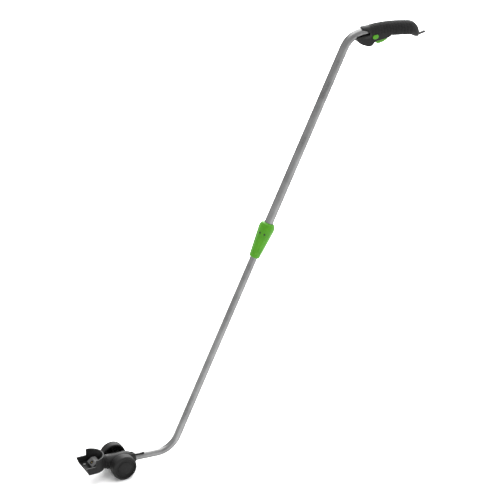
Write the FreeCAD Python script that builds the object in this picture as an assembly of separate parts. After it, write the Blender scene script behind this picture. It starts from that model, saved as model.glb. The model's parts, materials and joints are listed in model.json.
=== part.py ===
import FreeCAD, Part
import math
import os

# Telescopic pole that carries a cordless grass shear for edging: a trigger handle on top, two
# telescoping tubes with a twist lock, and a wheeled head with a swivelling tool cradle.
# Millimetres.  The model is built about the wheel axle's centre: X runs back along the ground
# from the tool to the walker, Y runs to the walker's right, Z is up.  save() moves it to its own
# frame, on the ground and centred front to back.

# Driving dimensions ---------------------------------------------------------------------------

WHEEL_R = 26.5
WHEEL_INNER_FACE = 19.0
WHEEL_OUTER_FACE = 37.2
AXLE_BOSS_Y = 18.6
HUB_CAP_R = 14.5
AXLE_R = 3.0

POLE_ANGLE = 64.84
LOWER_TUBE_R = 7.5
LOWER_TUBE_BORE = 6.3
UPPER_TUBE_R = 9.0
UPPER_TUBE_BORE = 8.0
LEG_FRONT_X = 8.0
LEG_FRONT_Z = 0.0
CORNER_X = 121.0
CORNER_Z = -5.9
LOWER_BEND_R = 48.0
UPPER_BEND_R = 45.0
TUBE_LEG_Z = 855.0
TUBE_REAR_X = 590.0
TUBE_SCREW_X = 566.0
LEG_SCREW_X = 16.0

# Stations along the pole, measured from the lower corner.
SLEEVE_BOTTOM = 450.0
SLEEVE_WIDEST = 515.0
SLEEVE_TOP = 528.0
SLEEVE_BOTTOM_R = 11.0
SLEEVE_WIDEST_R = 16.9
UPPER_TUBE_START = 470.0
LOWER_TUBE_END = 560.0
BUSH_END = 566.0
LEAD_COIL_END = 905.0

CUP_X = -60.2
CUP_R = 26.8
CUP_WALL = 2.6
CUP_BASE = -0.4
CUP_FLOOR = 2.5
SEAT_RISE = 0.5
CUP_TOP = 29.8
LOW_WALL_TOP = 15.3
FLOOR_FRONT_X = -76.2
LOW_WALL_FRONT_X = -82.2
FACET_LOW = (-63.4, 8.2)
FACET_HIGH = (-54.0, 15.4)

SWIVEL_Z = 5.0
SPIGOT_R = 7.0
SPIGOT_BORE = 3.5
SPIGOT_END_X = -12.5
FLANGE_R = 10.0
FLANGE_THICK = 2.4
NECK_R = 15.0
NECK_FRONT_X = -27.0
NECK_REAR_X = -19.0
BARREL_R = 16.5
BARREL_WALL = 2.4

RELEASE_R = 1.6
RELEASE_SIDE = -5.4
RELEASE_RISE = 8.6
RELEASE_BOSS_R = 4.4
RELEASE_END_X = 55.5

GRIP_START_X = 569.0
GRIP_END_X = 662.0
GRIP_SKIN = 2.0
SHELL_WALL = 2.2
HANDLE_REAR_X = 680.5
TAB_REAR_X = 698.8
TAB_TILT = 10.0
TRIGGER_PIVOT = (608.3, 838.4)
TRIGGER_HALF_WIDTH = 5.5
BUTTON_AT = (577.3, 844.8)
BUTTON_HALF = (6.5, 4.6)
BUTTON_SHANK_DROP = 2.8
BUTTON_SHANK_R = 2.1
HOUSING_HALF_WIDTH = 12.0
MOUTH_X = 553.0
MOUTH_R = 12.0

PIN_R = 1.5
LEAD_R = 1.5
SCREW_R = 1.3
RUNNING = 0.06
CLEAR = 0.4
TOUCH = 0.05

# Handle cross-sections: x, height of the centre, half width, half height.
COLLAR_SECTIONS = (
    (550.8, 852.9, 12.4, 12.6),
    (554.0, 852.8, 13.5, 13.9),
    (559.0, 852.7, 13.9, 14.2),
    (564.0, 852.6, 13.9, 14.1),
    (569.0, 852.6, 14.0, 14.2),
)
HANDLE_SECTIONS = (
    (569.0, 852.6, 14.0, 14.2),
    (604.0, 852.0, 14.6, 14.8),
    (638.0, 847.8, 14.7, 14.9),
    (662.0, 843.3, 14.5, 14.6),
)
REAR_CAP_SECTIONS = (
    (662.0, 843.3, 14.5, 14.6),
    (669.9, 839.0, 14.1, 15.6),
    (676.0, 834.6, 12.2, 13.6),
    (680.8, 829.4, 6.4, 7.4),
)

X_AXIS = FreeCAD.Vector(1, 0, 0)
Y_AXIS = FreeCAD.Vector(0, 1, 0)
Z_AXIS = FreeCAD.Vector(0, 0, 1)
COS_POLE = math.cos(math.radians(POLE_ANGLE))
SIN_POLE = math.sin(math.radians(POLE_ANGLE))
POLE_AXIS = FreeCAD.Vector(COS_POLE, 0, SIN_POLE)
POLE_LENGTH = (TUBE_LEG_Z - CORNER_Z) / SIN_POLE
LEG_FRONT = FreeCAD.Vector(LEG_FRONT_X, 0, LEG_FRONT_Z)
LEG_AXIS = FreeCAD.Vector(CORNER_X - LEG_FRONT_X, 0, CORNER_Z - LEG_FRONT_Z).normalize()
LEG_UP = LEG_AXIS.cross(Y_AXIS)
CENTRE_X = (TAB_REAR_X + LOW_WALL_FRONT_X) / 2
BIG = 200.0


# Helpers --------------------------------------------------------------------------------------

def vec(x, y, z):
    return FreeCAD.Vector(x, y, z)


def save(name, *solids):
    """Write one node, moved from the axle's frame to the part's own frame."""
    shape = solids[0] if len(solids) == 1 else Part.makeCompound(list(solids))
    shape = shape.copy()
    shape.translate(vec(-CENTRE_X, 0, WHEEL_R))
    valid = all(s.isValid() and s.isClosed() for s in shape.Solids)
    if not shape.Solids or not valid:
        print("CHECK", name, "solids", len(shape.Solids), "valid", valid)
    shape.exportStep(os.path.join("parts", name + ".step"))


def rod(radius, start, end):
    """A solid cylinder from one point to another."""
    axis = end.sub(start)
    return Part.makeCylinder(radius, axis.Length, start, axis)


def ring(outer, inner, start, end):
    return rod(outer, start, end).cut(rod(inner, start, end))


def block(x0, x1, y0, y1, z0, z1):
    return Part.makeBox(x1 - x0, y1 - y0, z1 - z0, vec(x0, y0, z0))


def side_prism(outline, y0, y1):
    """Extrude an outline of (x, z) points across the part from y0 to y1."""
    points = [vec(x, y0, z) for x, z in outline]
    face = Part.Face(Part.makePolygon(points + points[:1]))
    return face.extrude(vec(0, y1 - y0, 0))


def turned(profile, base, axis, across):
    """Revolve (radius, station) points about an axis through base."""
    points = [base + across * r + axis * s for r, s in profile]
    face = Part.Face(Part.makePolygon(points + points[:1]))
    return face.revolve(base, axis, 360)


def pole_point(station):
    return vec(CORNER_X + station * COS_POLE, 0, CORNER_Z + station * SIN_POLE)


def rounded_path(corners, radii):
    """Straight runs through the corner points, joined by tangent arcs."""
    edges = []
    start = corners[0]
    for i, radius in enumerate(radii):
        before, corner, after = corners[i], corners[i + 1], corners[i + 2]
        back = before.sub(corner).normalize()
        ahead = after.sub(corner).normalize()
        half = back.getAngle(ahead) / 2
        reach = radius / math.tan(half)
        inward = back.add(ahead).normalize()
        first = corner + back * reach
        last = corner + ahead * reach
        middle = corner + inward * (radius / math.sin(half) - radius)
        edges.append(Part.LineSegment(start, first).toShape())
        edges.append(Part.Arc(first, middle, last).toShape())
        start = last
    edges.append(Part.LineSegment(start, corners[-1]).toShape())
    return Part.Wire(edges)


def swept_round(path, radius):
    """A round bar of one radius along a wire."""
    edge = path.OrderedEdges[0]
    start = edge.firstVertex(True).Point
    tangent = edge.tangentAt(edge.FirstParameter)
    circle = Part.Wire(Part.Circle(start, tangent, radius).toShape())
    return path.makePipeShell([circle], True, True)


def coil(start, axis, height, radius, wire_r, pitch):
    """A coil spring of round wire that rises from start along an axis."""
    helix = Part.makeHelix(pitch, height, radius)
    profile = Part.Wire(Part.Circle(vec(radius, 0, 0), Y_AXIS, wire_r).toShape())
    spring = Part.Wire(helix.Edges).makePipeShell([profile], True, True)
    spring.Placement = FreeCAD.Placement(start, FreeCAD.Rotation(Z_AXIS, axis))
    return spring


def oval(x, centre, half_width, half_height):
    """A closed rounded section in the plane of one x, slightly squarer than an ellipse."""
    squareness = 2.0 / 2.3
    count = 16
    points = []
    for i in range(count):
        angle = 2 * math.pi * i / count
        across = math.copysign(abs(math.cos(angle)) ** squareness, math.cos(angle))
        up = math.copysign(abs(math.sin(angle)) ** squareness, math.sin(angle))
        points.append(vec(x, half_width * across, centre + half_height * up))
    curve = Part.BSplineCurve()
    curve.interpolate(points, PeriodicFlag=True)
    return Part.Wire(curve.toShape())


def handle_body(sections, shrink=0.0):
    """A smooth body through oval sections, each drawn in by the same amount."""
    wires = [oval(x, c, w - shrink, h - shrink) for x, c, w, h in sections]
    return Part.makeLoft(wires, True, False)


# Tubes ----------------------------------------------------------------------------------------

def leg_point(x):
    """The point of the lower tube's straight front leg at one x."""
    return LEG_FRONT + LEG_AXIS * ((x - LEG_FRONT_X) / LEG_AXIS.x)


def upper_path():
    start = pole_point(UPPER_TUBE_START)
    end = vec(TUBE_REAR_X, 0, TUBE_LEG_Z)
    return rounded_path([start, pole_point(POLE_LENGTH), end], [UPPER_BEND_R])


def lower_path():
    end = pole_point(LOWER_TUBE_END)
    return rounded_path([LEG_FRONT, pole_point(0), end], [LOWER_BEND_R])


def side_screws(centre, radius, inner_y, outer_y):
    """Two short screws that reach a tube from the left and from the right."""
    return [rod(radius, centre + Y_AXIS * (inner_y * side), centre + Y_AXIS * (outer_y * side))
            for side in (-1, 1)]


def make_tubes():
    upper = swept_round(upper_path(), UPPER_TUBE_R)
    upper = upper.cut(swept_round(upper_path(), UPPER_TUBE_BORE))
    upper_centre = vec(TUBE_SCREW_X, 0, TUBE_LEG_Z)
    for hole in side_screws(upper_centre, PIN_R + TOUCH, UPPER_TUBE_BORE - 2, UPPER_TUBE_R + 2):
        upper = upper.cut(hole)
    save("upper_tube", upper)
    save("handle_tube_screws", *side_screws(upper_centre, PIN_R, UPPER_TUBE_BORE + 0.2, 11.4))
    lower = swept_round(lower_path(), LOWER_TUBE_R)
    lower = lower.cut(swept_round(lower_path(), LOWER_TUBE_BORE))
    lower_centre = leg_point(LEG_SCREW_X)
    for hole in side_screws(lower_centre, PIN_R + TOUCH, LOWER_TUBE_BORE - 2, LOWER_TUBE_R + 2):
        lower = lower.cut(hole)
    save("lower_tube", lower)
    save("leg_screws", *side_screws(lower_centre, PIN_R, LOWER_TUBE_BORE + 0.2, 12.0))
    plug = ring(LOWER_TUBE_BORE - TOUCH, 4.0, pole_point(LOWER_TUBE_END - 12), pole_point(LOWER_TUBE_END))
    head = ring(LOWER_TUBE_R + 0.3, 4.0, pole_point(LOWER_TUBE_END), pole_point(BUSH_END))
    save("slide_bush", plug.fuse(head).removeSplitter())


# Twist lock -----------------------------------------------------------------------------------

def along_pole(profile):
    """Revolve (radius, station) points about the pole."""
    across = POLE_AXIS.cross(Y_AXIS)
    return turned(profile, pole_point(0), POLE_AXIS, across)


def sleeve_outline(grow=0.0):
    """Outer edge of the sleeve from its bottom to its top, as (radius, station)."""
    top_r = UPPER_TUBE_R + 1.6
    return [
        (SLEEVE_BOTTOM_R - 0.9 + grow, SLEEVE_BOTTOM),
        (SLEEVE_BOTTOM_R + grow, SLEEVE_BOTTOM + 1.2),
        (SLEEVE_WIDEST_R + grow, SLEEVE_WIDEST),
        (SLEEVE_WIDEST_R - 0.7 + grow, SLEEVE_WIDEST + 5.5),
        (SLEEVE_WIDEST_R - 2.6 + grow, SLEEVE_WIDEST + 10.5),
        (top_r + grow, SLEEVE_TOP),
    ]


def make_twist_lock():
    lip_r = LOWER_TUBE_R + 0.35
    seat_r = UPPER_TUBE_R + TOUCH
    body_r = 11.2
    body_bottom = UPPER_TUBE_START - 4
    body_top = SLEEVE_TOP - 7
    save("clamp_body", along_pole([
        (lip_r, body_bottom), (body_r, body_bottom), (body_r, body_top),
        (seat_r, body_top), (seat_r, UPPER_TUBE_START - 0.3), (lip_r, UPPER_TUBE_START - 0.3)]))

    collet_bottom = SLEEVE_BOTTOM + 3
    collet_top = body_bottom - 0.3
    collet = along_pole([
        (lip_r, collet_bottom), (9.2, collet_bottom), (10.6, collet_top), (lip_r, collet_top)])
    slit = block(0, BIG, -0.8, 0.8, -BIG, BIG)
    slit.Placement = FreeCAD.Placement(pole_point(collet_bottom), FreeCAD.Rotation(Z_AXIS, POLE_AXIS))
    save("split_collet", collet.cut(slit))

    inside = [
        (UPPER_TUBE_R + CLEAR, SLEEVE_TOP),
        (UPPER_TUBE_R + CLEAR, body_top + 1),
        (body_r + CLEAR, body_top + 1),
        (body_r + CLEAR, body_bottom + 0.5),
        (9.65, collet_bottom - 0.5),
        (LOWER_TUBE_R + CLEAR, collet_bottom - 0.5),
        (LOWER_TUBE_R + CLEAR, SLEEVE_BOTTOM),
    ]
    save("lock_sleeve", along_pole(sleeve_outline() + inside))

    skin = along_pole(sleeve_outline(grow=0.35) + list(reversed(sleeve_outline())))
    marks = []
    for side in (-1, 1):
        turn = FreeCAD.Rotation(POLE_AXIS, -48 + 19 * side)
        outward = turn.multVec(Y_AXIS * -1)
        middle = pole_point(SLEEVE_WIDEST - 10.3)
        prism = Part.makeCylinder(1.8, 30, middle, outward)
        marks.append(skin.common(prism))
    save("sleeve_marks", *marks)


# Wheels and axle ------------------------------------------------------------------------------

def wheel(side):
    """One wheel, open towards the housing, with its hub and six ribs."""
    face = WHEEL_OUTER_FACE
    inner = WHEEL_INNER_FACE
    web_inner = face - 6.0
    web_outer = face - 2.8
    hub_r = 6.5
    drum_r = WHEEL_R - 3.5
    profile = [
        (AXLE_R + RUNNING, inner + 1.2), (hub_r, inner + 1.2), (hub_r, web_inner),
        (drum_r, web_inner), (drum_r, inner), (WHEEL_R - 0.8, inner),
        (WHEEL_R - 0.2, inner + 1.0), (WHEEL_R, inner + 4.0), (WHEEL_R, face - 4.0),
        (WHEEL_R - 0.6, face - 1.8), (WHEEL_R - 1.8, face - 0.5), (WHEEL_R - 3.2, face),
        (WHEEL_R - 4.4, face), (WHEEL_R - 5.6, web_outer), (7.6, web_outer),
        (7.6, face - 4.5), (AXLE_R + RUNNING, face - 4.5)]
    solid = turned(profile, vec(0, 0, 0), Y_AXIS, X_AXIS)
    for i in range(6):
        rib = Part.makeBox(drum_r - hub_r + 1, 6, 1.6, vec(hub_r - 0.5, web_inner - 6, -0.8))
        rib.rotate(vec(0, 0, 0), Y_AXIS, 60 * i + 30)
        solid = solid.fuse(rib)
    solid = solid.removeSplitter()
    if side < 0:
        solid = solid.mirror(vec(0, 0, 0), Y_AXIS)
    return solid


def hub_cap(side):
    back = WHEEL_OUTER_FACE - 2.7
    profile = [
        (0, back), (HUB_CAP_R - 0.3, back), (HUB_CAP_R, back + 0.4),
        (HUB_CAP_R - 0.8, back + 1.3), (HUB_CAP_R - 4.5, back + 2.0), (0, back + 2.3)]
    cap = turned(profile, vec(0, 0, 0), Y_AXIS, X_AXIS)
    if side < 0:
        cap = cap.mirror(vec(0, 0, 0), Y_AXIS)
    return cap


def make_wheels():
    for name, side in (("left", -1), ("right", 1)):
        save("wheel_" + name, wheel(side))
        save("hub_cap_" + name, hub_cap(side))
    axle_end = WHEEL_OUTER_FACE - 2.9
    groove_y = WHEEL_OUTER_FACE - 4.2
    clip_thick = 0.8
    axle = rod(AXLE_R, vec(0, -axle_end, 0), vec(0, axle_end, 0))
    clips = []
    washers = []
    for side in (-1, 1):
        near = vec(0, side * groove_y, 0)
        far = vec(0, side * (groove_y + clip_thick), 0)
        axle = axle.cut(ring(AXLE_R + 1, AXLE_R - 0.5, near, far))
        clip = ring(5.4, AXLE_R - 0.45, near, far)
        y0, y1 = sorted((near.y - side, far.y + side))
        clips.append(clip.cut(block(0, 10, y0, y1, -1.6, 1.6)))
        washers.append(ring(5.8, AXLE_R + TOUCH, vec(0, side * (AXLE_BOSS_Y + 0.1), 0),
                            vec(0, side * (WHEEL_INNER_FACE + 0.9), 0)))
    save("axle_shaft", axle)
    save("axle_clips", *clips)
    save("wheel_washers", *washers)


# Wheel housing --------------------------------------------------------------------------------

def circle_wire(x, z, radius):
    return Part.Wire(Part.Circle(vec(x, 0, z), X_AXIS, radius).toShape())


def release_point(x):
    """A point on the release rod's axis, which runs beside the leg of the lower tube."""
    return leg_point(x) + LEG_UP * RELEASE_RISE + Y_AXIS * RELEASE_SIDE


def rim_edges(solid, point):
    """The solid's edges that lie round one point."""
    return [e for e in solid.Edges if e.BoundBox.Center.distanceToPoint(point) < 0.5]


def housing_outer():
    barrel = Part.makeLoft([circle_wire(-20.0, 2.2, BARREL_R), circle_wire(20.0, 0.2, BARREL_R - 0.5)],
                           True, True)
    nose = rod(NECK_R, vec(NECK_FRONT_X, 0, SWIVEL_Z - 0.8), vec(-20.0, 0, SWIVEL_Z - 0.8))
    tail_z = leg_point(37.0).z
    tail = Part.makeLoft([circle_wire(20.0, 0.2, BARREL_R - 0.5), circle_wire(37.0, tail_z, 10.4)],
                         True, True)
    guide = rod(RELEASE_BOSS_R, release_point(20.0), release_point(35.0))
    guide = guide.makeFillet(1.4, rim_edges(guide, release_point(35.0)))
    hump_end = vec(33.0, -1.0, 9.0)
    hump = rod(4.4, vec(20.0, -1.0, 9.7), hump_end)
    hump = hump.makeFillet(2.0, rim_edges(hump, hump_end))
    bosses = rod(7.2, vec(0, -AXLE_BOSS_Y, 0), vec(0, AXLE_BOSS_Y, 0))
    return barrel.fuse([nose, tail, guide, hump, bosses])


def housing_room():
    inner = BARREL_R - BARREL_WALL
    return Part.makeLoft([circle_wire(NECK_REAR_X, 2.2, inner), circle_wire(19.0, 0.2, inner - 0.5)],
                         True, True)


def housing_ways():
    """Ways through the shell: swivel neck, tube, axle and release rod."""
    neck = rod(SPIGOT_R + RUNNING, vec(-40.0, 0, SWIVEL_Z), vec(NECK_REAR_X + 1, 0, SWIVEL_Z))
    tube = rod(LOWER_TUBE_R + TOUCH, leg_point(LEG_FRONT_X - 0.5), leg_point(60.0))
    axle = rod(AXLE_R + TOUCH, vec(0, -BIG, 0), vec(0, BIG, 0))
    release = rod(RELEASE_R + RUNNING, release_point(-10.0), release_point(40.0))
    return [neck, tube, axle, release]


def housing_supports(room):
    """Ribs that hold the tube, and the rib that the release spring pushes on."""
    ribs = []
    for x in (9.5, 17.0):
        ribs.append(block(x, x + 2.0, -BARREL_R, BARREL_R, -BARREL_R, 5.5))
    centre = release_point(4.0)
    ribs.append(block(3.0, 5.5, centre.y - 4.0, centre.y + 4.0, centre.z - 3.0, BARREL_R + 2))
    axle_post = rod(6.0, vec(0, -BARREL_R, 0), vec(0, BARREL_R, 0))
    axle_post = axle_post.cut(block(-10, 10, -7.5, 7.5, -10, 10))
    ribs.append(axle_post)
    return [rib.common(room) for rib in ribs]


def housing_screw_points():
    return ((23.0, -10.8), (-7.5, -9.6))


def make_housing():
    outer = housing_outer()
    room = housing_room()
    shell = outer.cut(room).fuse(housing_supports(room))
    screws = []
    bores = side_screws(leg_point(LEG_SCREW_X), PIN_R + TOUCH, 5.0, 12.1)
    for x, z in housing_screw_points():
        reach = math.sqrt((BARREL_R - 0.5) ** 2 - (abs(z) + 1.5) ** 2)
        post = rod(SCREW_R + 1.5, vec(x, -reach, z), vec(x, reach, z))
        shell = shell.fuse(post.common(outer))
        bores.append(rod(SCREW_R + TOUCH, vec(x, -reach + 2, z), vec(x, reach, z)))
        bores.append(rod(2.8, vec(x, reach - 2.0, z), vec(x, BIG, z)))
        shank = rod(SCREW_R, vec(x, -reach + 2.2, z), vec(x, reach - 1.8, z))
        head = rod(2.6, vec(x, reach - 1.95, z), vec(x, reach - 0.4, z))
        slot = block(x - 1.6, x + 1.6, reach - 1.2, reach, z - 0.35, z + 0.35)
        cross = block(x - 0.35, x + 0.35, reach - 1.2, reach, z - 1.6, z + 1.6)
        screws.append(shank.fuse(head).cut(slot).cut(cross).removeSplitter())
    for way in housing_ways() + bores:
        shell = shell.cut(way)
    save("housing_left", shell.common(block(-60, 60, -40, 0, -40, 60)))
    save("housing_right", shell.common(block(-60, 60, 0, 40, -40, 60)))
    save("housing_screws", *screws)


# Release rod and detent -----------------------------------------------------------------------

def make_release():
    front = release_point(SPIGOT_END_X - 1.2)
    end = release_point(RELEASE_END_X - 3.5)
    collar = rod(3.0, release_point(-8.5), release_point(-7.0))
    stub = rod(RELEASE_R - 0.6, end, end + LEG_AXIS * 2.4)
    save("release_rod", rod(RELEASE_R, front, end).fuse([collar, stub]).removeSplitter())
    tip = rod(2.3, end, end + LEG_AXIS * 4.4)
    tip = tip.makeFillet(0.9, tip.Edges)
    save("release_tip", tip.cut(rod(RELEASE_R - 0.55, end - LEG_AXIS, end + LEG_AXIS * 2.45)))
    spring_start = release_point(-6.6)
    save("release_spring", coil(spring_start, LEG_AXIS, 8.9, 2.3, 0.3, 1.8))


# Tool cradle ----------------------------------------------------------------------------------

def cup_outline(radius, front_x, z):
    """Horseshoe outline in plan: two straight sides and a half circle at the back."""
    left_front = vec(front_x, -radius, z)
    right_front = vec(front_x, radius, z)
    left = vec(CUP_X, -radius, z)
    right = vec(CUP_X, radius, z)
    back = vec(CUP_X + radius, 0, z)
    return Part.Wire([
        Part.LineSegment(left_front, left).toShape(),
        Part.Arc(left, back, right).toShape(),
        Part.LineSegment(right, right_front).toShape(),
        Part.LineSegment(right_front, left_front).toShape()])


def cup_solid(radius, front_x, z0, z1):
    return Part.Face(cup_outline(radius, front_x, z0)).extrude(vec(0, 0, z1 - z0))


def facet_frame():
    """Middle of the contact block's sloping face and the face's outward normal."""
    low = vec(FACET_LOW[0], 0, FACET_LOW[1])
    high = vec(FACET_HIGH[0], 0, FACET_HIGH[1])
    along = high.sub(low).normalize()
    return (low + high) * 0.5, Y_AXIS.cross(along) * -1


def cradle_screw_points():
    return ((-70.0, -12.0), (-70.0, 12.0))


def detent_groove():
    """Half-round groove in the spigot's end, whose two ends stop the swivel at a quarter turn."""
    tooth = release_point(SPIGOT_END_X)
    tooth_radius = math.hypot(tooth.y, tooth.z - SWIVEL_Z)
    tooth_angle = math.degrees(math.atan2(-tooth.y, tooth.z - SWIVEL_Z))
    base = vec(SPIGOT_END_X - 1.6, 0, SWIVEL_Z)
    groove = Part.makeCylinder(tooth_radius + 2.0, 3, base, X_AXIS)
    groove = groove.cut(Part.makeCylinder(tooth_radius - 2.0, 3, base, X_AXIS))
    uncut = block(-40, 0, -40, 40, -40 + SWIVEL_Z, SWIVEL_Z - 2.4)
    uncut.rotate(base, X_AXIS, tooth_angle)
    return groove.cut(uncut)


def make_cradle():
    reach = LOW_WALL_FRONT_X - 5
    shell = cup_solid(CUP_R, reach, CUP_BASE, CUP_TOP)
    shell = shell.cut(cup_solid(CUP_R - CUP_WALL, reach - 5, CUP_BASE + CUP_FLOOR, CUP_TOP + 5))
    shell = shell.cut(block(-120, CUP_X, -40, 40, LOW_WALL_TOP, 60))
    lean = (LOW_WALL_FRONT_X - FLOOR_FRONT_X) / (LOW_WALL_TOP - CUP_BASE)
    shell = shell.cut(side_prism([
        (FLOOR_FRONT_X - lean, CUP_BASE - 1), (LOW_WALL_FRONT_X + lean * 10, LOW_WALL_TOP + 10),
        (-130.0, LOW_WALL_TOP + 10), (-130.0, CUP_BASE - 1)], -40, 40))
    back_x = CUP_X + CUP_R
    boss = rod(12.4, vec(back_x - 4.5, 0, SWIVEL_Z), vec(-32.6, 0, SWIVEL_Z))
    boss = boss.cut(cup_solid(CUP_R - CUP_WALL, reach, CUP_BASE - 20, CUP_TOP))
    spigot = rod(SPIGOT_R, vec(-33.0, 0, SWIVEL_Z), vec(SPIGOT_END_X, 0, SWIVEL_Z))
    flange = rod(FLANGE_R, vec(SPIGOT_END_X - FLANGE_THICK, 0, SWIVEL_Z), vec(SPIGOT_END_X, 0, SWIVEL_Z))
    shell = shell.fuse([boss, spigot, flange])
    shell = shell.cut(rod(SPIGOT_BORE, vec(-45, 0, SWIVEL_Z), vec(0, 0, SWIVEL_Z)))
    shell = shell.cut(detent_groove())
    floor = CUP_BASE + CUP_FLOOR
    shell = shell.cut(block(-67.0, -62.0, -7.0, 7.0, floor - 1.2, floor + 1))
    shell = shell.fuse(block(-76.0, -68.4, -7.5, 7.5, floor - 0.5, floor + SEAT_RISE))
    screws = []
    for x, y in cradle_screw_points():
        boss = rod(3.6, vec(x, y, floor - 1), vec(x, y, floor + 0.9))
        shell = shell.fuse(boss)
        shell = shell.cut(rod(SCREW_R + TOUCH, vec(x, y, CUP_BASE - 1), vec(x, y, floor + 2)))
        head = rod(2.7, vec(x, y, floor + 0.9), vec(x, y, floor + 2.3))
        shank = rod(SCREW_R, vec(x, y, CUP_BASE + 0.3), vec(x, y, floor + 1.2))
        slot = block(x - 1.7, x + 1.7, y - 0.35, y + 0.35, floor + 1.5, floor + 3)
        cross = block(x - 0.35, x + 0.35, y - 1.7, y + 1.7, floor + 1.5, floor + 3)
        screws.append(head.fuse(shank).cut(slot).cut(cross).removeSplitter())
    save("cradle_shell", shell.removeSplitter())
    save("cradle_screws", *screws)
    collar = ring(13.8, SPIGOT_R + TOUCH, vec(-32.5, 0, SWIVEL_Z), vec(-27.4, 0, SWIVEL_Z))
    for x in (-31.0, -29.0):
        collar = collar.cut(ring(15, 13.1, vec(x - 0.45, 0, SWIVEL_Z), vec(x + 0.45, 0, SWIVEL_Z)))
    save("swivel_collar", collar)
    flange_front = SPIGOT_END_X - FLANGE_THICK
    save("thrust_washer", ring(9.3, SPIGOT_R + TOUCH, vec(NECK_REAR_X + 0.1, 0, SWIVEL_Z),
                               vec(flange_front - 0.1, 0, SWIVEL_Z)))
    make_contact()


def make_contact():
    floor = CUP_BASE + CUP_FLOOR
    outline = [
        FACET_LOW, FACET_HIGH, (-45.0, FACET_HIGH[1]), (-45.0, floor + TOUCH),
        (-57.5, floor + TOUCH), (-57.5, floor + 3.4), (-61.6, floor + 3.4)]
    body = side_prism(outline, -13.0, 13.0)
    centre, normal = facet_frame()
    socket_r = 4.2
    body = body.cut(rod(socket_r + TOUCH, centre - normal * 5.0, centre + normal * 5))
    body = body.cut(rod(LEAD_R + TOUCH, vec(-52.1, 0, SWIVEL_Z), vec(-44, 0, SWIVEL_Z)))
    save("contact_block", body)
    socket = rod(socket_r, centre - normal * 4.9, centre + normal * 0.3)
    socket = socket.cut(rod(2.9, centre - normal * 3.6, centre + normal * 2))
    socket = socket.cut(rod(1.2 + TOUCH, centre - normal * 6, centre))
    save("contact_socket", socket)
    save("contact_pin", rod(1.2, centre - normal * 4.85, centre - normal * 0.2))
    save("cradle_lead", rod(LEAD_R, vec(-52.0, 0, SWIVEL_Z), vec(SPIGOT_END_X - 0.2, 0, SWIVEL_Z)))


# Leads inside the tubes -----------------------------------------------------------------------

def make_leads():
    corners = [
        vec(SPIGOT_END_X + 0.2, 0, SWIVEL_Z), vec(-8.5, 0, SWIVEL_Z), vec(-3.0, 0, -5.6),
        vec(3.0, 0, -5.4), leg_point(12.0), pole_point(0), pole_point(BUSH_END)]
    lower = swept_round(rounded_path(corners, [3.0, 3.0, 3.0, 4.0, LOWER_BEND_R]), LEAD_R)
    save("lower_lead", lower)
    save("coiled_lead", ring(5.0, 1.6, pole_point(BUSH_END + 0.5), pole_point(LEAD_COIL_END)))
    top = [
        pole_point(LEAD_COIL_END + 0.5), pole_point(POLE_LENGTH), vec(596.0, 0, TUBE_LEG_Z)]
    save("switch_lead", swept_round(rounded_path(top, [UPPER_BEND_R]), LEAD_R))


# Handle ---------------------------------------------------------------------------------------

def trigger_housing(shrink):
    """Trigger housing under the tube, drawn in by one wall thickness."""
    outline = [
        (538.2 + shrink, 849.5), (538.6 + shrink, 841.5 + shrink * 0.3),
        (542.0 + shrink * 0.8, 836.4 + shrink * 0.6), (550.0 + shrink * 0.5, 830.8 + shrink * 0.9),
        (560.0 + shrink * 0.3, 826.0 + shrink), (566.5, 824.4 + shrink), (571.5, 825.2 + shrink),
        (576.0, 830.4 + shrink), (581.0, 833.8 + shrink), (600.0, 834.8 + shrink),
        (609.0, 836.0 + shrink), (615.0, 839.2 + shrink), (618.0 - shrink, 842.4),
        (618.0 - shrink, 849.5)]
    half = HOUSING_HALF_WIDTH - shrink
    return side_prism(outline, -half, half)


def rounded_trigger_housing():
    """The housing's outside, with its corners and long edges rounded off."""
    top_edge = 848.0
    housing = trigger_housing(0)
    corners = [e for e in housing.Edges if e.BoundBox.YLength > HOUSING_HALF_WIDTH and e.BoundBox.ZMax < 845]
    housing = housing.makeFillet(3.0, corners)
    rims = [e for e in housing.Edges if e.BoundBox.YLength < 0.01 and e.BoundBox.ZMin < top_edge]
    return housing.makeFillet(2.0, rims)


def oval_prism(x, z, half_x, half_z, y0, y1):
    """A stadium-shaped bar across the handle."""
    straight = half_x - half_z
    middle = block(x - straight, x + straight, y0, y1, z - half_z, z + half_z)
    front = rod(half_z, vec(x - straight, y0, z), vec(x - straight, y1, z))
    back = rod(half_z, vec(x + straight, y0, z), vec(x + straight, y1, z))
    return middle.fuse([front, back]).removeSplitter()


def handle_screw_points():
    return ((556.5, 836.0), (621.0, 848.5), (651.0, 846.0))


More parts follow.
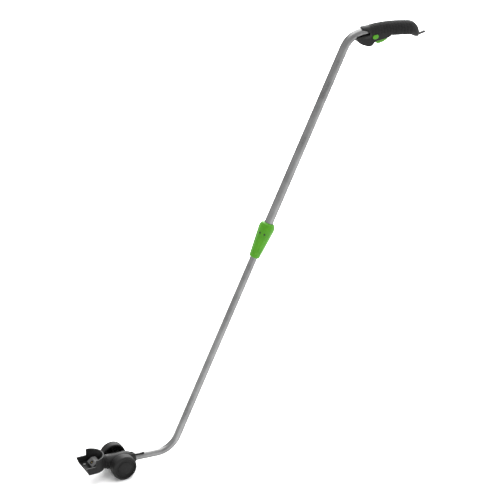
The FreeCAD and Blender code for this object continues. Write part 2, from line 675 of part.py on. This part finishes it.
def make_handle():
    full = handle_body(HANDLE_SECTIONS)
    core = handle_body(HANDLE_SECTIONS, GRIP_SKIN)
    room = handle_body(HANDLE_SECTIONS, GRIP_SKIN + SHELL_WALL)
    outer = handle_body(COLLAR_SECTIONS).fuse([core, rounded_trigger_housing()])
    rear_wall = block(GRIP_END_X - 3, GRIP_END_X, -40, 40, 800, 920)
    cavity = room.cut(rear_wall).fuse(trigger_housing(SHELL_WALL))
    tube_way = swept_round(upper_path(), UPPER_TUBE_R + TOUCH)
    shell = outer.cut(cavity)
    ribs = [rib.common(cavity) for rib in handle_ribs()]
    shell = shell.fuse(ribs).cut(tube_way)
    mouth_z = TUBE_LEG_Z + UPPER_TUBE_R - MOUTH_R
    mouth = rod(MOUTH_R, vec(MOUTH_X, -BIG, mouth_z), vec(MOUTH_X, BIG, mouth_z))
    shell = shell.cut(mouth.common(block(500, 580, -40, 40, TUBE_LEG_Z - 5, 920)))
    screws, shell = handle_screws(shell, outer)
    pivot_x, pivot_z = TRIGGER_PIVOT
    slot_half = TRIGGER_HALF_WIDTH + 0.5
    shell = shell.cut(block(580.2, 613.4, -slot_half, slot_half, 810, pivot_z + 3.0))
    button_x, button_z = BUTTON_AT
    well = oval_prism(button_x, button_z, BUTTON_HALF[0] + CLEAR, BUTTON_HALF[1] + CLEAR, -BIG, -5.0)
    shell = shell.cut(well)
    guide = rod(BUTTON_SHANK_R + TOUCH, vec(button_x, -9, button_z - BUTTON_SHANK_DROP),
                vec(button_x, 10, button_z - BUTTON_SHANK_DROP))
    shell = shell.cut(guide)
    shell = shell.cut(rod(PIN_R + TOUCH, vec(pivot_x, -9.9, pivot_z), vec(pivot_x, 9.9, pivot_z)))
    for hole in side_screws(vec(TUBE_SCREW_X, 0, TUBE_LEG_Z), PIN_R + TOUCH, 7.0, 11.5):
        shell = shell.cut(hole)
    save("handle_left", shell.common(block(500, 690, -40, 0, 800, 920)))
    save("handle_right", shell.common(block(500, 690, 0, 40, 800, 920)))
    save("handle_screws", *screws)
    grip = full.cut(core).common(block(GRIP_START_X + 0.2, GRIP_END_X - 0.2, -40, 40, 800, 920))
    keep_clear = side_prism([
        (560.0, 800.0), (620.0, 800.0), (620.0, 844.0), (600.0, 847.5), (587.0, 849.4),
        (560.0, 849.4)], -40, 40)
    save("soft_grip", grip.cut(keep_clear).cut(trigger_housing(-TOUCH)))
    make_rear_cap()


def handle_ribs():
    """Ribs inside the handle: tube stop, spring seats, switch shelves, pin and button guides."""
    pivot_x, pivot_z = TRIGGER_PIVOT
    button_x, button_z = BUTTON_AT
    tube_stop = block(TUBE_REAR_X + 0.2, TUBE_REAR_X + 1.6, -12, 12, TUBE_LEG_Z - 3, 870)
    tube_stop = tube_stop.cut(rod(3.0, vec(560, 0, TUBE_LEG_Z), vec(610, 0, TUBE_LEG_Z)))
    ribs = [
        tube_stop,
        block(581.5, 588.5, -11, 11, 842.2, 843.8),
        block(592.0, 606.0, -11, -3.4, 843.0, 847.0),
        block(592.0, 606.0, 3.4, 11, 843.0, 847.0),
        rod(3.2, vec(button_x, 4.0, button_z - BUTTON_SHANK_DROP),
            vec(button_x, 12, button_z - BUTTON_SHANK_DROP)),
        rod(3.2, vec(pivot_x, -12, pivot_z), vec(pivot_x, -6.1, pivot_z)),
        rod(3.2, vec(pivot_x, 6.1, pivot_z), vec(pivot_x, 12, pivot_z)),
    ]
    for x in (570.0, 576.0):
        ribs.append(block(x, x + 1.6, -14, 14, TUBE_LEG_Z - 3, 870))
    return ribs


def handle_screws(shell, outer):
    """Screws that hold the two halves together, with their posts and counterbores."""
    screws = []
    for x, z in handle_screw_points():
        reach = 8.6
        post = rod(SCREW_R + 1.6, vec(x, -reach - 2, z), vec(x, reach + 2, z)).common(outer)
        bore = rod(SCREW_R + TOUCH, vec(x, -reach, z), vec(x, reach, z))
        head_room = rod(2.7, vec(x, reach - 1.0, z), vec(x, BIG, z))
        shell = shell.fuse(post).cut(bore).cut(head_room)
        shank = rod(SCREW_R, vec(x, -reach + 0.2, z), vec(x, reach - 0.9, z))
        head = rod(2.5, vec(x, reach - 0.95, z), vec(x, reach + 0.9, z))
        screws.append(shank.fuse(head).removeSplitter())
    return screws, shell


def make_rear_cap():
    cap = handle_body(REAR_CAP_SECTIONS)
    cap = cap.cut(handle_body(REAR_CAP_SECTIONS[:3], SHELL_WALL + 0.4))
    tab_x = HANDLE_REAR_X - 4.0
    tab_z = 823.6
    hinge = vec(tab_x, 0, tab_z)
    tab = block(tab_x, TAB_REAR_X - 3.2, -3.0, 3.0, tab_z - 1.5, tab_z + 1.5)
    tab = tab.fuse(rod(3.0, vec(TAB_REAR_X - 3.2, 0, tab_z - 1.5), vec(TAB_REAR_X - 3.2, 0, tab_z + 1.5)))
    hole = rod(1.7, vec(TAB_REAR_X - 3.2, 0, tab_z - 9), vec(TAB_REAR_X - 3.2, 0, tab_z + 9))
    tab = tab.cut(hole).removeSplitter()
    tab.rotate(hinge, Y_AXIS, -TAB_TILT)
    save("hang_tab", tab)
    room = block(tab_x - 0.1, TAB_REAR_X, -3.05, 3.05, tab_z - 1.55, tab_z + 1.55)
    room.rotate(hinge, Y_AXIS, -TAB_TILT)
    save("rear_cap", cap.cut(room))


# Trigger, lock-off and switch -----------------------------------------------------------------

def make_controls():
    pivot_x, pivot_z = TRIGGER_PIVOT
    outline = [
        (582.0, 828.4), (585.5, 824.8), (591.0, 824.4), (599.5, 825.8), (607.0, 829.2),
        (611.6, 833.6), (612.4, 838.0), (610.6, 840.9), (606.4, 840.9), (600.5, 836.5), (582.0, 836.5)]
    blade = side_prism(outline, -TRIGGER_HALF_WIDTH, TRIGGER_HALF_WIDTH)
    lower_edges = [
        e for e in blade.Edges
        if e.BoundBox.YLength < 0.01 and e.BoundBox.ZMax < 834.0]
    blade = blade.makeFillet(1.6, lower_edges)
    blade = blade.cut(rod(PIN_R + RUNNING, vec(pivot_x, -10, pivot_z), vec(pivot_x, 10, pivot_z)))
    save("trigger", blade)
    save("trigger_pin", rod(PIN_R, vec(pivot_x, -9.8, pivot_z), vec(pivot_x, 9.8, pivot_z)))
    save("trigger_spring", coil(vec(586.0, 0, 836.9), Z_AXIS, 4.9, 1.9, 0.3, 1.3))

    plunger_x = 597.0
    body = block(592.1, 605.9, -3.2, 3.2, 841.4, 850.0)
    body = body.cut(rod(1.3, vec(plunger_x, 0, 840), vec(plunger_x, 0, 846.4)))
    save("switch_body", body)
    save("switch_plunger", rod(1.2, vec(plunger_x, 0, 836.9), vec(plunger_x, 0, 844.2)))
    save("switch_terminals", *[block(x, x + 0.8, -1.6, 1.6, 850.0, 855.0) for x in (598.5, 603.5)])

    x, z = BUTTON_AT
    shank_z = z - BUTTON_SHANK_DROP
    cap = oval_prism(x, z, BUTTON_HALF[0], BUTTON_HALF[1], -15.0, -11.4)
    rim = [e for e in cap.Edges if abs(e.BoundBox.YMax + 15.0) < 0.01 and e.BoundBox.YLength < 0.01]
    cap = cap.makeFillet(1.2, rim)
    shank = rod(BUTTON_SHANK_R, vec(x, -11.6, shank_z), vec(x, 3.0, shank_z))
    save("lock_off_button", cap.fuse(shank).removeSplitter())
    save("lock_off_spring", coil(vec(x, 3.3, shank_z), Y_AXIS, 6.0, 1.7, 0.25, 1.2))


os.makedirs("parts", exist_ok=True)
make_tubes()
make_twist_lock()
make_wheels()
make_housing()
make_release()
make_cradle()
make_leads()
make_handle()
make_controls()
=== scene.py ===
import json
import math

import bmesh
import bpy
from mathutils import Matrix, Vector


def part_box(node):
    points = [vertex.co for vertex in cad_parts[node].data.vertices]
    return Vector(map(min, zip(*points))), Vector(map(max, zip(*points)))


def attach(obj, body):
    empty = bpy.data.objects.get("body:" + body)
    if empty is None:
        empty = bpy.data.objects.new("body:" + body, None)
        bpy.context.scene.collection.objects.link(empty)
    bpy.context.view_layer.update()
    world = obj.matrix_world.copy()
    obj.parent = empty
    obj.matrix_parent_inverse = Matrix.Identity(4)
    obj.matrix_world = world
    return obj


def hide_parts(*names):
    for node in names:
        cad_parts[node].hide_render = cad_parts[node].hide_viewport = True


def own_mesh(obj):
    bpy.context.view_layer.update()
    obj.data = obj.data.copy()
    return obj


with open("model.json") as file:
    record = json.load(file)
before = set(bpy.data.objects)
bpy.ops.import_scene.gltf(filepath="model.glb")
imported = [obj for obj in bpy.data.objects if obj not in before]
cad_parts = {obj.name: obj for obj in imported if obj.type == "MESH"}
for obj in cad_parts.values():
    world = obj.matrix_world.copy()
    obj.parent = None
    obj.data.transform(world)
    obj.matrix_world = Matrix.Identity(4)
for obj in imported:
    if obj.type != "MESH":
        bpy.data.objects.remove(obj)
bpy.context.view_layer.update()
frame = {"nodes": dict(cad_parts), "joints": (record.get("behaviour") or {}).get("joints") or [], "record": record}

MM = 0.001
WELD_MM = 0.002   # vertices of a CAD mesh that are nearer than this are one


def joint_named(name):
    """The frame's entry for a joint."""
    return next(joint for joint in frame["joints"] if joint["name"] == name)


POLE_AXIS = Vector(joint_named("telescope")["axis"]).normalized()


# Materials ------------------------------------------------------------------------------------

def new_material(name):
    """A node material, its shader, and the functions that link its nodes and add to them."""
    mat = bpy.data.materials.new(name)
    mat.use_nodes = True
    tree = mat.node_tree
    shader = tree.nodes["Principled BSDF"]

    def add(kind, **values):
        node = tree.nodes.new(kind)
        for key, value in values.items():
            if key in node.inputs:
                node.inputs[key].default_value = value
            else:
                setattr(node, key, value)
        return node

    return mat, tree.links.new, shader, add


def ramp(add, low, dark, high, light):
    """A colour ramp: the first colour up to low, the second from high on."""
    node = add("ShaderNodeValToRGB")
    for element, place, colour in zip(node.color_ramp.elements, (low, high), (dark, light)):
        element.position = place
        element.color = (*colour, 1)
    return node


def grey(value):
    """A colour with the same red, green and blue."""
    return (value, value, value)


def moulded(name, dark, light, worn, roughness, grain, depth, gloss):
    """Injection-moulded plastic: mottled colour, fine spark-eroded grain, paler rubbed edges.

    The grain is in cells per metre and its depth in metres. The gloss is the specular level.
    """
    pit_share = 0.55
    mottle_low = 0.32
    mottle_high = 0.70
    rubbed_low = 0.515
    rubbed_high = 0.60
    smoother = 0.06
    rougher = 0.10
    mat, link, shader, add = new_material(name)
    place = add("ShaderNodeTexCoord").outputs["Object"]
    cloud = add("ShaderNodeTexNoise", Scale=55.0, Detail=5.0, Roughness=0.6)
    fine = add("ShaderNodeTexNoise", Scale=grain, Detail=3.0, Roughness=0.7)
    pits = add("ShaderNodeTexVoronoi", Scale=grain * pit_share)
    for node in (cloud, fine, pits):
        link(place, node.inputs["Vector"])
    tone = ramp(add, mottle_low, dark, mottle_high, light)
    link(cloud.outputs["Fac"], tone.inputs["Fac"])
    edge = add("ShaderNodeNewGeometry").outputs["Pointiness"]
    rub = ramp(add, rubbed_low, grey(0), rubbed_high, grey(1))
    link(edge, rub.inputs["Fac"])
    amount = add("ShaderNodeMath", operation="MULTIPLY")
    link(rub.outputs["Color"], amount.inputs[0])
    link(fine.outputs["Fac"], amount.inputs[1])
    mix = add("ShaderNodeMix", data_type="RGBA")
    link(amount.outputs[0], mix.inputs["Factor"])
    link(tone.outputs["Color"], mix.inputs["A"])
    mix.inputs["B"].default_value = (*worn, 1)
    link(mix.outputs["Result"], shader.inputs["Base Color"])
    sheen = add("ShaderNodeMapRange")
    sheen.inputs["To Min"].default_value = roughness - smoother
    sheen.inputs["To Max"].default_value = roughness + rougher
    link(cloud.outputs["Fac"], sheen.inputs["Value"])
    link(sheen.outputs["Result"], shader.inputs["Roughness"])
    relief = add("ShaderNodeMath", operation="ADD")
    link(fine.outputs["Fac"], relief.inputs[0])
    link(pits.outputs["Distance"], relief.inputs[1])
    bump = add("ShaderNodeBump", Strength=0.55, Distance=depth)
    link(relief.outputs[0], bump.inputs["Height"])
    link(bump.outputs["Normal"], shader.inputs["Normal"])
    shader.inputs["Specular IOR Level"].default_value = gloss
    return mat


def drawn_metal(name, dark, light, roughness, along, stretch, edge):
    """Drawn or turned metal: fine lines along one direction, broken up by cloudy oxide.

    Stretch is the lines' frequency along that direction as a share of the frequency across it,
    and edge is the tint at grazing angles.
    """
    line_share = 0.45
    tone_low = 0.42
    tone_high = 0.95
    dull_low = 0.35
    dull_high = 1.0
    smoother = 0.06
    rougher = 0.12
    line_depth = 0.04 * MM
    mat, link, shader, add = new_material(name)
    place = add("ShaderNodeTexCoord").outputs["Object"]
    turned = add("ShaderNodeMapping", vector_type="TEXTURE")
    turn = Vector((1, 0, 0)).rotation_difference(Vector(along)).to_euler()
    turned.inputs["Rotation"].default_value = turn
    turned.inputs["Scale"].default_value = (1 / stretch, 1, 1)
    link(place, turned.inputs["Vector"])
    lines = add("ShaderNodeTexNoise", Scale=1500.0, Detail=4.0, Roughness=0.65)
    link(turned.outputs["Vector"], lines.inputs["Vector"])
    cloud = add("ShaderNodeTexNoise", Scale=16.0, Detail=6.0, Roughness=0.62)
    link(place, cloud.inputs["Vector"])
    both = add("ShaderNodeMath", operation="MULTIPLY_ADD")
    link(lines.outputs["Fac"], both.inputs[0])
    both.inputs[1].default_value = line_share
    link(cloud.outputs["Fac"], both.inputs[2])
    tone = ramp(add, tone_low, dark, tone_high, light)
    link(both.outputs[0], tone.inputs["Fac"])
    link(tone.outputs["Color"], shader.inputs["Base Color"])
    dull = add("ShaderNodeMapRange")
    dull.inputs["From Min"].default_value = dull_low
    dull.inputs["From Max"].default_value = dull_high
    dull.inputs["To Min"].default_value = roughness - smoother
    dull.inputs["To Max"].default_value = roughness + rougher
    link(both.outputs[0], dull.inputs["Value"])
    link(dull.outputs["Result"], shader.inputs["Roughness"])
    bump = add("ShaderNodeBump", Strength=0.35, Distance=line_depth)
    link(lines.outputs["Fac"], bump.inputs["Height"])
    link(bump.outputs["Normal"], shader.inputs["Normal"])
    shader.inputs["Metallic"].default_value = 1.0
    shader.inputs["Specular Tint"].default_value = (*grey(edge), 1)
    return mat


MATERIALS = {
    "tube_metal": drawn_metal(
        "satin_anodised_tube", grey(0.10), grey(0.235), roughness=0.26,
        along=POLE_AXIS, stretch=0.012, edge=0.18),
    "steel": drawn_metal(
        "black_zinc_steel", grey(0.09), grey(0.18), roughness=0.34,
        along=(0, 1, 0), stretch=0.2, edge=0.7),
    "contact_brass": drawn_metal(
        "brass", (0.15, 0.11, 0.05), (0.26, 0.19, 0.08), roughness=0.30,
        along=(0, 0, 1), stretch=0.3, edge=0.7),
    "green_plastic": moulded(
        "green_plastic", (0.040, 0.180, 0.002), (0.056, 0.232, 0.004), worn=(0.12, 0.32, 0.03),
        roughness=0.42, grain=1300.0, depth=0.03 * MM, gloss=0.22),
    "dark_plastic": moulded(
        "dark_plastic", grey(0.0075), grey(0.0125), worn=grey(0.04),
        roughness=0.52, grain=1500.0, depth=0.05 * MM, gloss=0.12),
    "wheel_plastic": moulded(
        "wheel_plastic", grey(0.0070), grey(0.0115), worn=grey(0.036),
        roughness=0.56, grain=1100.0, depth=0.06 * MM, gloss=0.12),
    "soft_rubber": moulded(
        "soft_rubber", grey(0.0075), grey(0.0130), worn=grey(0.03),
        roughness=0.70, grain=1700.0, depth=0.06 * MM, gloss=0.10),
    "contact_plastic": moulded(
        "grey_plastic", grey(0.040), grey(0.062), worn=grey(0.13),
        roughness=0.48, grain=1500.0, depth=0.04 * MM, gloss=0.25),
    "pale_plastic": moulded(
        "pale_plastic", grey(0.38), grey(0.48), worn=grey(0.6),
        roughness=0.45, grain=1500.0, depth=0.03 * MM, gloss=0.5),
    "lead_sheath": moulded(
        "lead_sheath", grey(0.010), grey(0.02), worn=grey(0.05),
        roughness=0.6, grain=900.0, depth=0.04 * MM, gloss=0.3),
}


# CAD nodes: each gets its slot's material, and these get edges rounded as a mould or a lathe
# leaves them.

EDGE_MM = {
    "cradle_shell": 0.45, "contact_block": 0.4, "housing_left": 0.4, "housing_right": 0.4,
    "handle_left": 0.5, "handle_right": 0.5, "rear_cap": 0.5, "hang_tab": 0.5,
    "trigger": 0.5, "lock_off_button": 0.3, "wheel_left": 0.35, "wheel_right": 0.35,
    "hub_cap_left": 0.2, "hub_cap_right": 0.2, "swivel_collar": 0.25, "contact_socket": 0.15,
    "release_tip": 0.2, "cradle_screws": 0.1, "handle_screws": 0.1, "housing_screws": 0.1,
}


def paint(obj, slot):
    """Gives a CAD node the material of its slot."""
    for i in range(len(obj.data.materials)):
        obj.data.materials[i] = MATERIALS[slot]


def round_edges(obj, width_mm):
    """Rounds a CAD node's sharp edges with modifiers, which leave its mesh as it is."""
    sharp = math.radians(32)
    weld = obj.modifiers.new("weld", "WELD")
    weld.merge_threshold = WELD_MM * MM
    bevel = obj.modifiers.new("edges", "BEVEL")
    bevel.width = width_mm * MM
    bevel.segments = 3
    bevel.limit_method = "ANGLE"
    bevel.angle_limit = sharp
    bevel.use_clamp_overlap = True
    bevel.harden_normals = False
    smooth = obj.modifiers.new("normals", "WEIGHTED_NORMAL")
    smooth.keep_sharp = True


for entry in frame["record"]["subparts"]:
    node = frame["nodes"][entry["node"]]
    paint(node, entry["material_slot"])
    if entry["node"] in EDGE_MM:
        round_edges(node, EDGE_MM[entry["node"]])


# Pieces made here -----------------------------------------------------------------------------

def node_copy(node):
    """A welded copy of a CAD node's mesh, in the row frame."""
    work = bmesh.new()
    work.from_mesh(frame["nodes"][node].data)
    bmesh.ops.remove_doubles(work, verts=work.verts, dist=WELD_MM * MM)
    return work


def new_piece(name, work, body, slot, node):
    """A smooth-shaded piece that stands for a CAD node and rides on its body."""
    mesh = bpy.data.meshes.new(name)
    for face in work.faces:
        face.smooth = True
    work.to_mesh(mesh)
    work.free()
    mesh.materials.append(MATERIALS[slot])
    obj = bpy.data.objects.new(name, mesh)
    bpy.context.collection.objects.link(obj)
    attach(obj, body)
    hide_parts(node)
    return obj


def remeshed(work, voxel_mm, rounds):
    """The solid as an even, slightly softened grid of quads, as a moulding without hard edges."""
    mesh = bpy.data.meshes.new("work")
    work.to_mesh(mesh)
    work.free()
    obj = bpy.data.objects.new("work", mesh)
    bpy.context.collection.objects.link(obj)
    grid = obj.modifiers.new("grid", "REMESH")
    grid.mode = "VOXEL"
    grid.voxel_size = voxel_mm * MM
    soft = obj.modifiers.new("soft", "SMOOTH")
    soft.factor = 0.5
    soft.iterations = rounds
    result = obj.evaluated_get(bpy.context.evaluated_depsgraph_get()).to_mesh()
    out = bmesh.new()
    out.from_mesh(result)
    bpy.data.objects.remove(obj)
    return out


def step(value, low, high):
    """Rises smoothly from 0 at low to 1 at high."""
    t = min(1.0, max(0.0, (value - low) / (high - low)))
    return t * t * (3 - 2 * t)


def ridge_line(work, low, high, count=24):
    """The height of a long piece's top at evenly spaced places from front to back."""
    tops = [low[2]] * count
    for vert in work.verts:
        place = int((vert.co.x - low[0]) / (high[0] - low[0]) * count)
        place = min(count - 1, max(0, place))
        tops[place] = max(tops[place], vert.co.z)
    return tops


def ridge_height(tops, along):
    """The height of that top at a share of the length, from 0 at the front to 1 at the back."""
    place = min(len(tops) - 1.001, max(0.0, along * len(tops) - 0.5))
    first = int(place)
    return tops[first] + (tops[first + 1] - tops[first]) * (place - first)


def make_grip():
    """Rubber grip with staggered raised pads between shallow channels, plain at both ends.

    The channels' widths are shares of a pad, and the plain ends shares of the grip's length.
    Outward is the least cosine between the skin and the radius at which channels are pressed in.
    """
    voxel_mm = 0.42
    pad_rows = 14
    pads_round = 15
    depth = 0.55 * MM
    channel_floor = 0.05
    channel_edge = 0.17
    front_plain = 0.03
    front_full = 0.075
    back_full = 0.925
    back_plain = 0.97
    outward = 0.55
    low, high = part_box("soft_grip")
    half_depth = (high[1] - low[1]) / 2
    work = remeshed(node_copy("soft_grip"), voxel_mm, rounds=2)
    work.normal_update()
    tops = ridge_line(work, low, high)
    moves = []
    for vert in work.verts:
        along = (vert.co.x - low[0]) / (high[0] - low[0])
        middle = ridge_height(tops, along) - half_depth
        radial = Vector((0, vert.co.y, vert.co.z - middle))
        if radial.length < MM or vert.normal.dot(radial.normalized()) < outward:
            continue
        row = along * pad_rows
        turn = math.atan2(radial.y, radial.z) / (2 * math.pi) * pads_round
        turn += 0.5 * (int(row) % 2)
        from_row = abs(row - round(row))
        from_column = abs(turn - round(turn))
        channel = max(1 - step(from_row, channel_floor, channel_edge),
                      1 - step(from_column, channel_floor, channel_edge))
        fade = step(along, front_plain, front_full) * (1 - step(along, back_full, back_plain))
        moves.append((vert, vert.normal * (-depth * channel * fade)))
    for vert, move in moves:
        vert.co += move
    new_piece("grip_cover", work, "upper_pole", "soft_rubber", "soft_grip")


def lathe(profile, base, axis, segments, ripple):
    """Revolve a closed (radius, station) outline in mm about an axis, pressed in by a ripple."""
    across = axis.cross(Vector((0, 1, 0))).normalized()
    side = axis.cross(across)
    work = bmesh.new()
    rings = []
    for i in range(segments):
        angle = 2 * math.pi * i / segments
        out = across * math.cos(angle) + side * math.sin(angle)
        ring = []
        for radius, station in profile:
            reach = (radius - ripple(angle, radius, station)) * MM
            ring.append(work.verts.new(base + out * reach + axis * station * MM))
        rings.append(ring)
    count = len(profile)
    for i in range(segments):
        here = rings[i]
        there = rings[(i + 1) % segments]
        for j in range(count):
            k = (j + 1) % count
            work.faces.new((here[j], there[j], there[k], here[k]))
    bmesh.ops.recalc_face_normals(work, faces=work.faces)
    return work


def rounded(corners, steps=5):
    """A closed outline of (radius, station, rounding) corners, each rounded off in a few steps."""
    longest_share = 0.45
    points = []
    count = len(corners)
    for i in range(count):
        corner = Vector(corners[i][:2])
        before = Vector(corners[i - 1][:2]) - corner
        after = Vector(corners[(i + 1) % count][:2]) - corner
        reach = min(corners[i][2], before.length * longest_share, after.length * longest_share)
        first = corner + before.normalized() * reach
        last = corner + after.normalized() * reach
        for k in range(steps + 1):
            t = k / steps
            point = first * (1 - t) ** 2 + corner * (2 * t * (1 - t)) + last * t ** 2
            points.append((point.x, point.y))
    return points


def even(points, longest=1.6):
    """The same closed outline with its runs divided into parts of no more than the longest."""
    out = []
    for i, point in enumerate(points):
        start = Vector(point)
        end = Vector(points[(i + 1) % len(points)])
        parts = max(1, math.ceil((end - start).length / longest))
        for k in range(parts):
            spot = start.lerp(end, k / parts)
            out.append((spot.x, spot.y))
    return out


def make_sleeve():
    """Twist-lock sleeve: a tapered shell with shallow finger flutes and a chamfered crown.

    Stations are in mm up the pole from the twist joint's place, and radii in mm.
    """
    bottom = -40.0
    widest = 25.0
    crown = 38.0
    bottom_r = 11.0
    widest_r = 16.85
    crown_r = 10.55
    neck_r = 9.4
    neck_floor = crown - 6.0
    inner_r = 11.6
    inner_floor = bottom + 16.5
    cone_foot_r = 9.65
    lip_r = 7.9
    lip_top = bottom + 2.4
    outside = [
        (bottom_r - 0.85, bottom, 0.4), (bottom_r, bottom + 1.2, 0.8), (widest_r, widest, 1.0),
        (widest_r - 0.7, widest + 5.5, 0.8), (widest_r - 2.6, widest + 10.4, 0.7),
        (crown_r, crown, 0.9)]
    inside = [
        (neck_r, crown, 0.3), (neck_r, neck_floor, 0.2), (inner_r, neck_floor - 0.1, 0.4),
        (inner_r, inner_floor, 0.6), (cone_foot_r, lip_top + 0.1, 0.6), (lip_r, lip_top, 0.3),
        (lip_r, bottom, 0.3)]
    segments = 240
    flutes = 12
    flute_depth = 0.5
    skin_depth = 0.5

    def flute(angle, radius, station):
        """How far a point is pressed in, which is nothing except on the outer skin."""
        taper = (widest_r - bottom_r) / (widest - bottom)
        if radius < bottom_r + (station - bottom) * taper - skin_depth:
            return 0.0
        lower = step(station, bottom + 5, bottom + 14)
        upper = 1 - step(station, widest - 12, widest - 3)
        return flute_depth * lower * upper * (0.5 + 0.5 * math.cos(flutes * angle)) ** 2

    place = Vector(joint_named("sleeve_twist")["pos_m"])
    work = lathe(even(rounded(outside + inside)), place, POLE_AXIS, segments, flute)
    new_piece("twist_sleeve", work, "lock_sleeve", "green_plastic", "lock_sleeve")


def make_springs():
    """The springs and the coiled lead, as smooth-shaded copies of their CAD nodes, each riding on its body.

    Keep is the part of the piece's length that would be left when its joint is at its limit; it is not used.
    """
    up = Vector((0, 0, 1))
    right = Vector((0, 1, 0))
    leg_axis = Vector(joint_named("rod_pull")["axis"])
    soft = [
        ("coiled_lead", "upper_pole", "lead_sheath", "telescope", POLE_AXIS, 0.11),
        ("trigger_spring", "upper_pole", "steel", "trigger_pull", up, 0.42),
        ("lock_off_spring", "upper_pole", "steel", "lock_off_press", right, 0.58),
        ("release_spring", "lower_pole", "steel", "rod_pull", leg_axis, 0.70),
    ]
    for node, body, slot, joint, axis, keep in soft:
        work = node_copy(node)
        piece = new_piece(node + "_coil", work, body, slot, node)
        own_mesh(piece)


make_grip()
make_sleeve()
make_springs()


# Stage, light and camera ----------------------------------------------------------------------

def make_stage():
    """A pale floor, just under the wheels."""
    reach = 6.0
    gap = 0.4 * MM
    corners = [(-reach, -reach, 0), (reach, -reach, 0), (reach, reach, 0), (-reach, reach, 0)]
    mesh = bpy.data.meshes.new("floor")
    mesh.from_pydata(corners, [], [(0, 1, 2, 3)])
    floor = bpy.data.objects.new("floor", mesh)
    bpy.context.collection.objects.link(floor)
    floor.location.z = -gap
    mat, link, shader, add = new_material("pale_floor")
    cloud = add("ShaderNodeTexNoise", Scale=3.0, Detail=3.0)
    link(add("ShaderNodeTexCoord").outputs["Object"], cloud.inputs["Vector"])
    tone = ramp(add, 0.3, grey(0.94), 0.7, grey(0.96))
    link(cloud.outputs["Fac"], tone.inputs["Fac"])
    link(tone.outputs["Color"], shader.inputs["Base Color"])
    shader.inputs["Roughness"].default_value = 0.9
    floor.data.materials.append(mat)


def area_light(name, place, target, size, power):
    """A square lamp that faces the target."""
    data = bpy.data.lights.new(name, "AREA")
    data.size = size
    data.energy = power
    light = bpy.data.objects.new(name, data)
    bpy.context.collection.objects.link(light)
    light.location = place
    light.rotation_euler = (Vector(target) - Vector(place)).to_track_quat("-Z", "Y").to_euler()


def make_light():
    """An even white surround and three soft lamps: by the handle, above, and on the far side."""
    world = bpy.data.worlds.new("studio")
    world.use_nodes = True
    background = world.node_tree.nodes["Background"]
    background.inputs["Color"].default_value = (*grey(1), 1)
    background.inputs["Strength"].default_value = 1.2
    bpy.context.scene.world = world
    bpy.context.scene.view_settings.view_transform = "Standard"
    middle = (0, 0, 0.45)
    area_light("key", (3.2, -1.4, 2.0), middle, size=3.0, power=60)
    area_light("top", (0.2, 0.6, 3.6), middle, size=3.2, power=90)
    area_light("back", (1.7, 3.3, 2.2), middle, size=3.0, power=330)


def make_camera():
    """A long lens from the photograph's side: azimuth is from -y towards +x."""
    azimuth = math.radians(-26.4)
    elevation = math.radians(28.6)
    distance = 7.5
    target = Vector((-0.00770, -0.00471, 0.44819))
    level = Vector((math.sin(azimuth), -math.cos(azimuth), 0))
    back = level * math.cos(elevation) + Vector((0, 0, math.sin(elevation)))
    data = bpy.data.cameras.new("camera")
    data.sensor_width = 36.0
    data.lens = 266.0
    camera = bpy.data.objects.new("camera", data)
    bpy.context.collection.objects.link(camera)
    camera.location = target + back * distance
    camera.rotation_euler = back.to_track_quat("Z", "Y").to_euler()
    bpy.context.scene.camera = camera


make_stage()
make_light()
make_camera()
